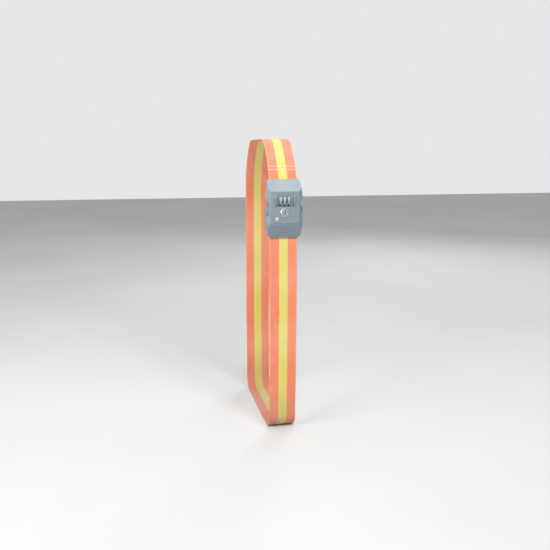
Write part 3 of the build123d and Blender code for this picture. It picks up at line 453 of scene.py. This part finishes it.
class Finish:
    """A node material and short ways to add its nodes."""

    def __init__(self, name, roughness, **sockets):
        self.material = bpy.data.materials.new(name)
        self.material.use_nodes = True
        self.tree = self.material.node_tree
        self.shader = self.tree.nodes["Principled BSDF"]
        self.shader.inputs["Roughness"].default_value = roughness
        for socket, value in sockets.items():
            self.shader.inputs[socket.replace("_", " ")].default_value = value

    def node(self, kind, settings=None, **links):
        """Add a node, set its properties, and link or set its named inputs."""
        made = self.tree.nodes.new(kind)
        for key, value in (settings or {}).items():
            setattr(made, key, value)
        for key, value in links.items():
            self.feed(made.inputs[int(key[1:]) if key[0] == "i" and key[1:].isdigit() else key], value)
        return made

    def feed(self, socket, value):
        """Link a socket to a node's first output or to an output, or set its value."""
        if isinstance(value, bpy.types.Node):
            self.tree.links.new(value.outputs[0], socket)
        elif isinstance(value, bpy.types.NodeSocket):
            self.tree.links.new(value, socket)
        else:
            socket.default_value = value

    def maths(self, operation, first, second=0.0, third=0.0):
        """A math node."""
        return self.node("ShaderNodeMath", {"operation": operation}, i0=first, i1=second, i2=third)

    def band(self, value, low, high, to_low=0.0, to_high=1.0):
        """A value mapped smoothly from one range to another."""
        return self.node(
            "ShaderNodeMapRange",
            {"interpolation_type": "SMOOTHSTEP"},
            **{"Value": value, "From Min": low, "From Max": high, "To Min": to_low, "To Max": to_high},
        )

    def noise(self, scale, detail=2.0, where=None, rough=0.5):
        """Noise from object coordinates, or from a vector."""
        vector = where or self.node("ShaderNodeTexCoord").outputs["Object"]
        return self.node("ShaderNodeTexNoise", Vector=vector, Scale=scale, Detail=detail, Roughness=rough)

    def blend(self, share, first, second, way="MIX"):
        """Two colours mixed."""
        mixer = self.node("ShaderNodeMix", {"data_type": "RGBA", "blend_type": way})
        self.feed(mixer.inputs[0], share)
        self.feed(mixer.inputs[6], first)
        self.feed(mixer.inputs[7], second)
        return mixer.outputs[2]

    def stretched(self, x, y, z):
        """Object coordinates scaled by three factors."""
        place = self.node("ShaderNodeTexCoord").outputs["Object"]
        return self.node("ShaderNodeMapping", Vector=place, Scale=(x, y, z))

    def bump(self, height, strength, distance, under=None):
        """A bump node over another."""
        made = self.node("ShaderNodeBump", Height=height, Strength=strength, Distance=distance / 1000)
        if under:
            self.feed(made.inputs["Normal"], under)
        return made

    def colour(self, value):
        """Feed the base colour."""
        self.feed(self.shader.inputs["Base Color"], value)

    def rough(self, value):
        """Feed the roughness."""
        self.feed(self.shader.inputs["Roughness"], value)

    def relief(self, value):
        """Feed the shading normal."""
        self.feed(self.shader.inputs["Normal"], value)

    def crevice(self, reach, low, high):
        """1 deep in a gap or corner narrower than about the reach in millimetres, 0 in the open."""
        made = self.node("ShaderNodeAmbientOcclusion", {"samples": 6}, Distance=reach / 1000)
        return self.band(made.outputs["AO"], low, high, 1.0, 0.0)

    def edge_wear(self, radius, low, high):
        """1 where the surface turns a corner within a radius in millimetres, 0 on flat stretches."""
        bevel = self.node("ShaderNodeBevel", {"samples": 6}, Radius=radius / 1000)
        plain = self.node("ShaderNodeNewGeometry").outputs["Normal"]
        along = self.node("ShaderNodeVectorMath", {"operation": "DOT_PRODUCT"}, i0=bevel, i1=plain)
        return self.band(along.outputs["Value"], high, low)


WARP_PITCH = 1.05
STRIPE_BLUR = 0.25
ORANGE = (238, 134, 100)
ORANGE_FADED = (243, 152, 124)
SELVEDGE_ORANGE = (245, 176, 142)
YELLOW = (224, 211, 108)
YELLOW_FADED = (230, 220, 132)
# brown of the painted shade in the hollows between the yarns
WEAVE_HOLLOW_SHADE = (166, 128, 106)
FUZZ = (250, 232, 206)
# brown of the random handling soil and of the painted shade low on the strap
SOIL_AND_SHADE_BROWN = (128, 104, 84)
SEALED = (150, 84, 58)
SEAL_LENGTH = 1.1
# heights in metres over which the painted shade at the strap's bottom fades out
BOTTOM_SHADE_LOW_Z, BOTTOM_SHADE_HIGH_Z = -0.268, -0.17
# dark grey of the painted shade in the plastic's gaps and corners
CREVICE_SHADE_GREY = (52, 58, 62)
THREAD_CREAM = (248, 208, 170)
THREAD_PALE = (253, 224, 194)
PAINT_WHITE = (240, 240, 236)
PAINT_WORN = (150, 158, 162)
INLAY_PEARL = (186, 178, 188)
INLAY_PALE = (204, 198, 206)
TURNING_RATE = 42000.0


def webbing_finish(strap_length):
    """Striped polyester webbing: knuckled warp yarns, ribs, pale selvedges, faded and a little soiled,
    with painted shade in the hollows of the weave and low down where it turns under the case.
    """
    finish = Finish("striped_webbing", 0.68, Sheen_Weight=0.28, Sheen_Roughness=0.45)
    finish.shader.inputs["Specular IOR Level"].default_value = 0.32
    flat = finish.node("ShaderNodeUVMap", {"uv_map": "flat"})
    parts = finish.node("ShaderNodeSeparateXYZ", Vector=flat)
    across = finish.maths("SUBTRACT", parts.outputs["X"], HALF_WIDTH / 1000)
    along = parts.outputs["Y"]
    away = finish.maths("ABSOLUTE", across)
    # yarns: columns across, each a chain of knuckles set half a step off its neighbour's
    column = finish.maths("DIVIDE", parts.outputs["X"], WARP_PITCH / 1000)
    parity = finish.maths("MODULO", finish.maths("FLOOR", column), 2.0)
    step = finish.maths("MULTIPLY_ADD", parity, 0.5, finish.maths("DIVIDE", along, RIB_PITCH / 1000))
    ridge = finish.maths("ABSOLUTE", finish.maths("SINE", finish.maths("MULTIPLY", column, math.pi)))
    knuckle = finish.maths("ABSOLUTE", finish.maths("SINE", finish.maths("MULTIPLY", step, math.pi)))
    rounded = finish.maths("POWER", ridge, 0.7)
    weave = finish.maths("MULTIPLY", rounded, finish.band(knuckle, 0.0, 0.9, 0.25, 1.0))
    stretched = finish.node("ShaderNodeMapping", Vector=flat, Scale=(9000, 900, 1))
    fibre = finish.noise(1.0, 3.0, stretched)
    height = finish.maths("MULTIPLY_ADD", fibre, 0.22, weave)
    # colour
    ragged = finish.noise(1.0, 1.0, finish.node("ShaderNodeMapping", Vector=flat, Scale=(60, 620, 1)))
    wobble = finish.maths("MULTIPLY_ADD", ragged, 0.0006, finish.maths("SUBTRACT", away, 0.0003))
    stripe_ends = ((STRIPE_HALF - STRIPE_BLUR) / 1000, (STRIPE_HALF + STRIPE_BLUR) / 1000)
    stripe = finish.band(wobble, *stripe_ends, 1.0, 0.0)
    selvedge = finish.band(away, (HALF_WIDTH - SELVEDGE) / 1000, (HALF_WIDTH - SELVEDGE + 0.5) / 1000)
    cloud = finish.noise(14.0, 4.0)
    faded = finish.band(cloud, 0.35, 0.7)
    orange = finish.blend(faded, linear(*ORANGE), linear(*ORANGE_FADED))
    orange = finish.blend(finish.maths("MULTIPLY", selvedge, 0.35), orange, linear(*SELVEDGE_ORANGE))
    yellow = finish.blend(faded, linear(*YELLOW), linear(*YELLOW_FADED))
    dyed = finish.blend(stripe, orange, yellow)
    # painted shade: the hollows between yarns and knuckles are darkened toward brown
    hollow_shaded = finish.blend(finish.band(weave, 0.1, 0.65, 0.42, 0.0), dyed, linear(*WEAVE_HOLLOW_SHADE), "MULTIPLY")
    fuzz = finish.blend(finish.band(fibre, 0.5, 0.8, 0.0, 0.22), hollow_shaded, linear(*FUZZ))
    # handling soil at random, painted shade that darkens the strap low down where it turns under the
    # case, and ends sealed by heat
    soil = finish.noise(46.0, 5.0, rough=0.65)
    place = finish.node("ShaderNodeTexCoord").outputs["Object"]
    height_up = finish.node("ShaderNodeSeparateXYZ", Vector=place)
    # painted shade: the strap is darker toward the bottom, up to about a third brown at its lowest point
    bottom_shade = finish.band(height_up.outputs["Z"], BOTTOM_SHADE_LOW_Z, BOTTOM_SHADE_HIGH_Z, 0.34, 0.0)
    soil_and_bottom_shade = finish.maths("ADD", finish.band(soil, 0.55, 0.78, 0.0, 0.18), bottom_shade)
    soiled_and_shaded = finish.blend(soil_and_bottom_shade, fuzz, linear(*SOIL_AND_SHADE_BROWN))
    first_end = finish.band(along, 0.0, SEAL_LENGTH / 1000, 1.0, 0.0)
    last_end = finish.band(along, (strap_length - SEAL_LENGTH) / 1000, strap_length / 1000)
    sealed = finish.maths("ADD", first_end, last_end)
    finish.colour(finish.blend(finish.maths("MULTIPLY", sealed, 0.8), soiled_and_shaded, linear(*SEALED)))
    finish.rough(finish.band(weave, 0.0, 1.0, 0.82, 0.58))
    finish.relief(finish.bump(height, 0.75, 0.32))
    return finish.material


def thread_finish():
    """Cream sewing thread with a fibrous sheen."""
    finish = Finish("cream_thread", 0.6, Sheen_Weight=0.35, Sheen_Roughness=0.4)
    fibre = finish.noise(5200.0, 2.0)
    tone = finish.band(fibre, 0.35, 0.7)
    finish.colour(finish.blend(tone, linear(*THREAD_CREAM), linear(*THREAD_PALE)))
    finish.relief(finish.bump(fibre, 0.5, 0.06))
    return finish.material


def moulded(name, base, pale, dark, grain=1.0):
    """Satin moulded plastic: fine spark grain, soft mottling, rubbed corners, hairline scratches, and
    painted shade that darkens its gaps and corners.
    """
    finish = Finish(name, 0.46)
    finish.shader.inputs["Specular IOR Level"].default_value = 0.6
    spark = finish.noise(3600.0 * grain, 2.0, rough=0.6)
    mottle = finish.noise(120.0, 4.0)
    hand = finish.noise(26.0, 3.0)
    scratch = finish.noise(1.0, 2.0, finish.stretched(2600, 400, 70), rough=0.7)
    nicks = finish.band(scratch, 0.69, 0.76)
    worn = finish.edge_wear(0.55, 0.90, 0.985)
    worn = finish.maths("MULTIPLY", worn, finish.band(mottle, 0.32, 0.62, 0.35, 1.0))
    body = finish.blend(finish.band(mottle, 0.3, 0.7, 0.0, 0.6), linear(*base), linear(*dark))
    body = finish.blend(finish.band(spark, 0.45, 0.75, 0.0, 0.3), body, linear(*pale))
    body = finish.blend(finish.maths("MULTIPLY", worn, 0.55), body, linear(*pale))
    scratched = finish.blend(finish.maths("MULTIPLY", nicks, 0.35), body, linear(*pale))
    # painted shade: gaps and corners narrower than about 2 mm, as ambient occlusion finds them, are
    # darkened toward a dark grey
    crevice_shade = finish.maths("MULTIPLY", finish.crevice(2.2, 0.3, 0.85), 0.75)
    finish.colour(finish.blend(crevice_shade, scratched, linear(*CREVICE_SHADE_GREY)))
    gloss = finish.band(hand, 0.3, 0.7, 0.36, 0.46)
    finish.rough(finish.maths("SUBTRACT", gloss, finish.maths("MULTIPLY", worn, 0.08)))
    grainy = finish.bump(spark, 0.35, 0.05)
    finish.relief(finish.bump(nicks, 0.25, 0.04, grainy))
    return finish.material


def metal(name, base, dark, roughness, brushed, strength=0.12):
    """Metal brushed along the axes with small factors, with fine pits and darker patches."""
    finish = Finish(name, roughness, Metallic=1.0)
    lines = finish.noise(1.0, 3.0, finish.stretched(*brushed), rough=0.6)
    patch = finish.noise(420.0, 4.0)
    tone = finish.blend(finish.band(lines, 0.35, 0.7, 0.0, 0.5), linear(*base), linear(*dark))
    finish.colour(finish.blend(finish.band(patch, 0.55, 0.8, 0.0, 0.35), tone, linear(*dark)))
    finish.rough(finish.band(lines, 0.3, 0.7, roughness - 0.07, roughness + 0.1))
    finish.relief(finish.bump(lines, strength, 0.03))
    return finish.material


def turned_metal(name, base, dark, roughness, centre):
    """Plated metal with fine rings about an axis through centre along Y, as a lathe leaves."""
    finish = Finish(name, roughness, Metallic=1.0)
    place = finish.node("ShaderNodeTexCoord").outputs["Object"]
    moved = finish.node("ShaderNodeVectorMath", {"operation": "SUBTRACT"}, i0=place, i1=centre)
    flat = finish.node("ShaderNodeVectorMath", {"operation": "MULTIPLY"}, i0=moved, i1=(1, 0, 1))
    away = finish.node("ShaderNodeVectorMath", {"operation": "LENGTH"}, i0=flat).outputs["Value"]
    rings = finish.maths("SINE", finish.maths("MULTIPLY", away, TURNING_RATE))
    grain = finish.noise(900.0, 4.0)
    finish.colour(finish.blend(finish.band(grain, 0.45, 0.75, 0.0, 0.6), linear(*base), linear(*dark)))
    finish.rough(finish.band(grain, 0.3, 0.7, roughness - 0.06, roughness + 0.12))
    finish.relief(finish.bump(rings, 0.05, 0.02, finish.bump(grain, 0.15, 0.03)))
    return finish.material


def paint_finish():
    """White paint of the digits, a little worn."""
    finish = Finish("digit_paint", 0.5)
    chip = finish.noise(2400.0, 3.0)
    tone = finish.band(chip, 0.62, 0.74)
    finish.colour(finish.blend(tone, linear(*PAINT_WHITE), linear(*PAINT_WORN)))
    finish.relief(finish.bump(chip, 0.3, 0.03))
    return finish.material


def inlay_finish():
    """Pearly lacquered inlay, plain, with a fine orange-peel surface."""
    finish = Finish("pearl_inlay", 0.24, Coat_Weight=0.5, Coat_Roughness=0.12)
    peel = finish.noise(900.0, 2.0)
    tint = finish.noise(260.0, 3.0)
    tone = finish.band(tint, 0.35, 0.7)
    finish.colour(finish.blend(tone, linear(*INLAY_PEARL), linear(*INLAY_PALE)))
    finish.relief(finish.bump(peel, 0.25, 0.04))
    return finish.material


def give_finish(node, material):
    """Give a CAD node a material in place of its plain one."""
    for place in frame["nodes"][node].material_slots:
        place.material = material


key_centre = Vector(JOINTS["key_turn"]["pos_m"])
body_plastic = moulded("lock_body_plastic", (122, 136, 142), (174, 185, 191), (110, 124, 131))
base_plastic = moulded("sliding_half_plastic", (112, 126, 133), (166, 178, 185), (99, 114, 122))
dial_plastic = moulded("dial_plastic", (138, 150, 156), (200, 208, 212), (116, 129, 136), 1.5)
nickel = turned_metal("satin_nickel", (234, 237, 240), (190, 194, 198), 0.27, key_centre)
steel = metal("zinc_plated_steel", (186, 188, 186), (120, 122, 122), 0.34, (2400, 300, 300))
spring_steel = metal("spring_steel", (156, 158, 160), (92, 94, 98), 0.3, (900, 900, 2600))
brass = metal("dull_brass", (128, 116, 88), (88, 78, 56), 0.5, (3000, 200, 200))

for node in ("front_housing", "back_cover"):
    give_finish(node, body_plastic)
for node in ("male_base", "left_prong", "right_prong"):
    give_finish(node, base_plastic)
for node in ("key_shell", "key_plug"):
    give_finish(node, nickel)
for node in ("housing_screws", "dial_spindle", "cylinder_clip", "cam_screw", "key_cam", "lock_slide"):
    give_finish(node, steel)
for node in ("spindle_spring", "detent_leaf"):
    give_finish(node, spring_steel)
for number in DIALS:
    give_finish(f"dial_{number}", dial_plastic)
    give_finish(f"dial_sleeve_{number}", brass)
give_finish("plain_inlay", inlay_finish())

# ---- webbing, thread and digits in place ----
loop_length = route_length(LOOP_ROUTE)
run_length = route_length(RUN_ROUTE)
tail_length = route_length(TAIL_ROUTE)
striped = webbing_finish(loop_length + run_length + tail_length)

thread = fold_thread()
thread.data.materials.append(thread_finish())
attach(thread, "strap_and_lock")
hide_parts("fold_stitching")

loop = webbing("loop_strip", LOOP_ROUTE, 0.0)
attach(loop, "strap_and_lock")
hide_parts("webbing_loop")

run = webbing("front_strip", RUN_ROUTE, loop_length)
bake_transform(run)
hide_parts("webbing_front_run")

tail = webbing("tail_strip", TAIL_ROUTE, loop_length + run_length)
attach(tail, "male_half")
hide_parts("webbing_wrap", "webbing_tail")

for strip, length, rests in (
    (loop, loop_length, "front_housing"),
    (run, run_length, "male_base"),
    (tail, tail_length, "male_base"),
):
    strip.data.materials.append(striped)

springs = return_springs()
springs.data.materials.append(spring_steel)
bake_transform(springs)
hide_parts("slide_springs")

digit_paint = paint_finish()
for number in DIALS:
    digits = dial_digits(number)
    digits.data.materials.append(digit_paint)
    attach(digits, f"dial_{number}")

# ---- floor, light and camera, in metres ----
FLOOR_GAP = 0.0002
FLOOR_Z = cad_low.z - FLOOR_GAP
FLOOR_HALF = 6.0
FLOOR_GREY = (198, 198, 197)
FLOOR_PALE = (204, 204, 203)


def studio_floor():
    """A wide pale floor with a faint unevenness in its tone."""
    signs = [(-1, -1), (1, -1), (1, 1), (-1, 1)]
    corners = [(x * FLOOR_HALF, y * FLOOR_HALF, FLOOR_Z) for x, y in signs]
    floor = solid("floor", corners, [(0, 1, 2, 3)])
    finish = Finish("pale_floor", 0.9)
    tone = finish.noise(1.5, 3.0)
    mottle = finish.band(tone, 0.3, 0.7)
    finish.colour(finish.blend(mottle, linear(*FLOOR_GREY), linear(*FLOOR_PALE)))
    floor.data.materials.append(finish.material)


def softbox(name, place, target, width, height, power):
    """A rectangular white area light that faces a target."""
    light = bpy.data.lights.new(name, "AREA")
    light.shape = "RECTANGLE"
    light.size = width
    light.size_y = height
    light.energy = power
    holder = bpy.data.objects.new(name, light)
    holder.location = place
    holder.rotation_euler = (Vector(target) - Vector(place)).to_track_quat("-Z", "Y").to_euler()
    bpy.context.scene.collection.objects.link(holder)


studio_floor()
softbox("main", (0.12, -1.45, 1.65), (0, -0.1, 0.1), 1.1, 0.9, 36.0)
softbox("overhead", (-0.7, -0.3, 1.9), (0, -0.1, 0.1), 1.2, 1.0, 5.0)
softbox("side", (-2.0, -1.1, 0.9), (0, -0.1, 0.0), 1.2, 1.4, 36.0)
softbox("behind", (1.2, 1.8, 1.3), (0, 0, 0), 1.2, 1.4, 16.0)

SKY_WHITE = (247, 248, 250)
SKY_RISE = (("From Min", -0.7), ("From Max", 0.6), ("To Min", 0.28), ("To Max", 0.85))

# a room that is dimmer behind the camera than behind the strap
world = bpy.data.worlds.new("pale_room")
world.use_nodes = True
sky = world.node_tree
facing = sky.nodes.new("ShaderNodeTexCoord")
facing_parts = sky.nodes.new("ShaderNodeSeparateXYZ")
sky_level = sky.nodes.new("ShaderNodeMapRange")
sky.links.new(facing.outputs["Generated"], facing_parts.inputs["Vector"])
sky.links.new(facing_parts.outputs["Y"], sky_level.inputs["Value"])
for socket, value in SKY_RISE:
    sky_level.inputs[socket].default_value = value
sky.links.new(sky_level.outputs["Result"], sky.nodes["Background"].inputs["Strength"])
sky.nodes["Background"].inputs["Color"].default_value = linear(*SKY_WHITE)
bpy.context.scene.world = world
bpy.context.scene.view_settings.view_transform = "Standard"

CAMERA_PLACE = (-0.2691, -1.2894, 0.2502)
CAMERA_YAW = math.radians(-12.3)
CAMERA_PITCH = math.radians(90 - 10.58)
CAMERA_LENS = 44.2

camera_data = bpy.data.cameras.new("camera")
camera_data.lens = CAMERA_LENS
camera = bpy.data.objects.new("camera", camera_data)
camera.location = CAMERA_PLACE
camera.rotation_euler = (CAMERA_PITCH, 0, CAMERA_YAW)
bpy.context.scene.collection.objects.link(camera)
bpy.context.scene.camera = camera
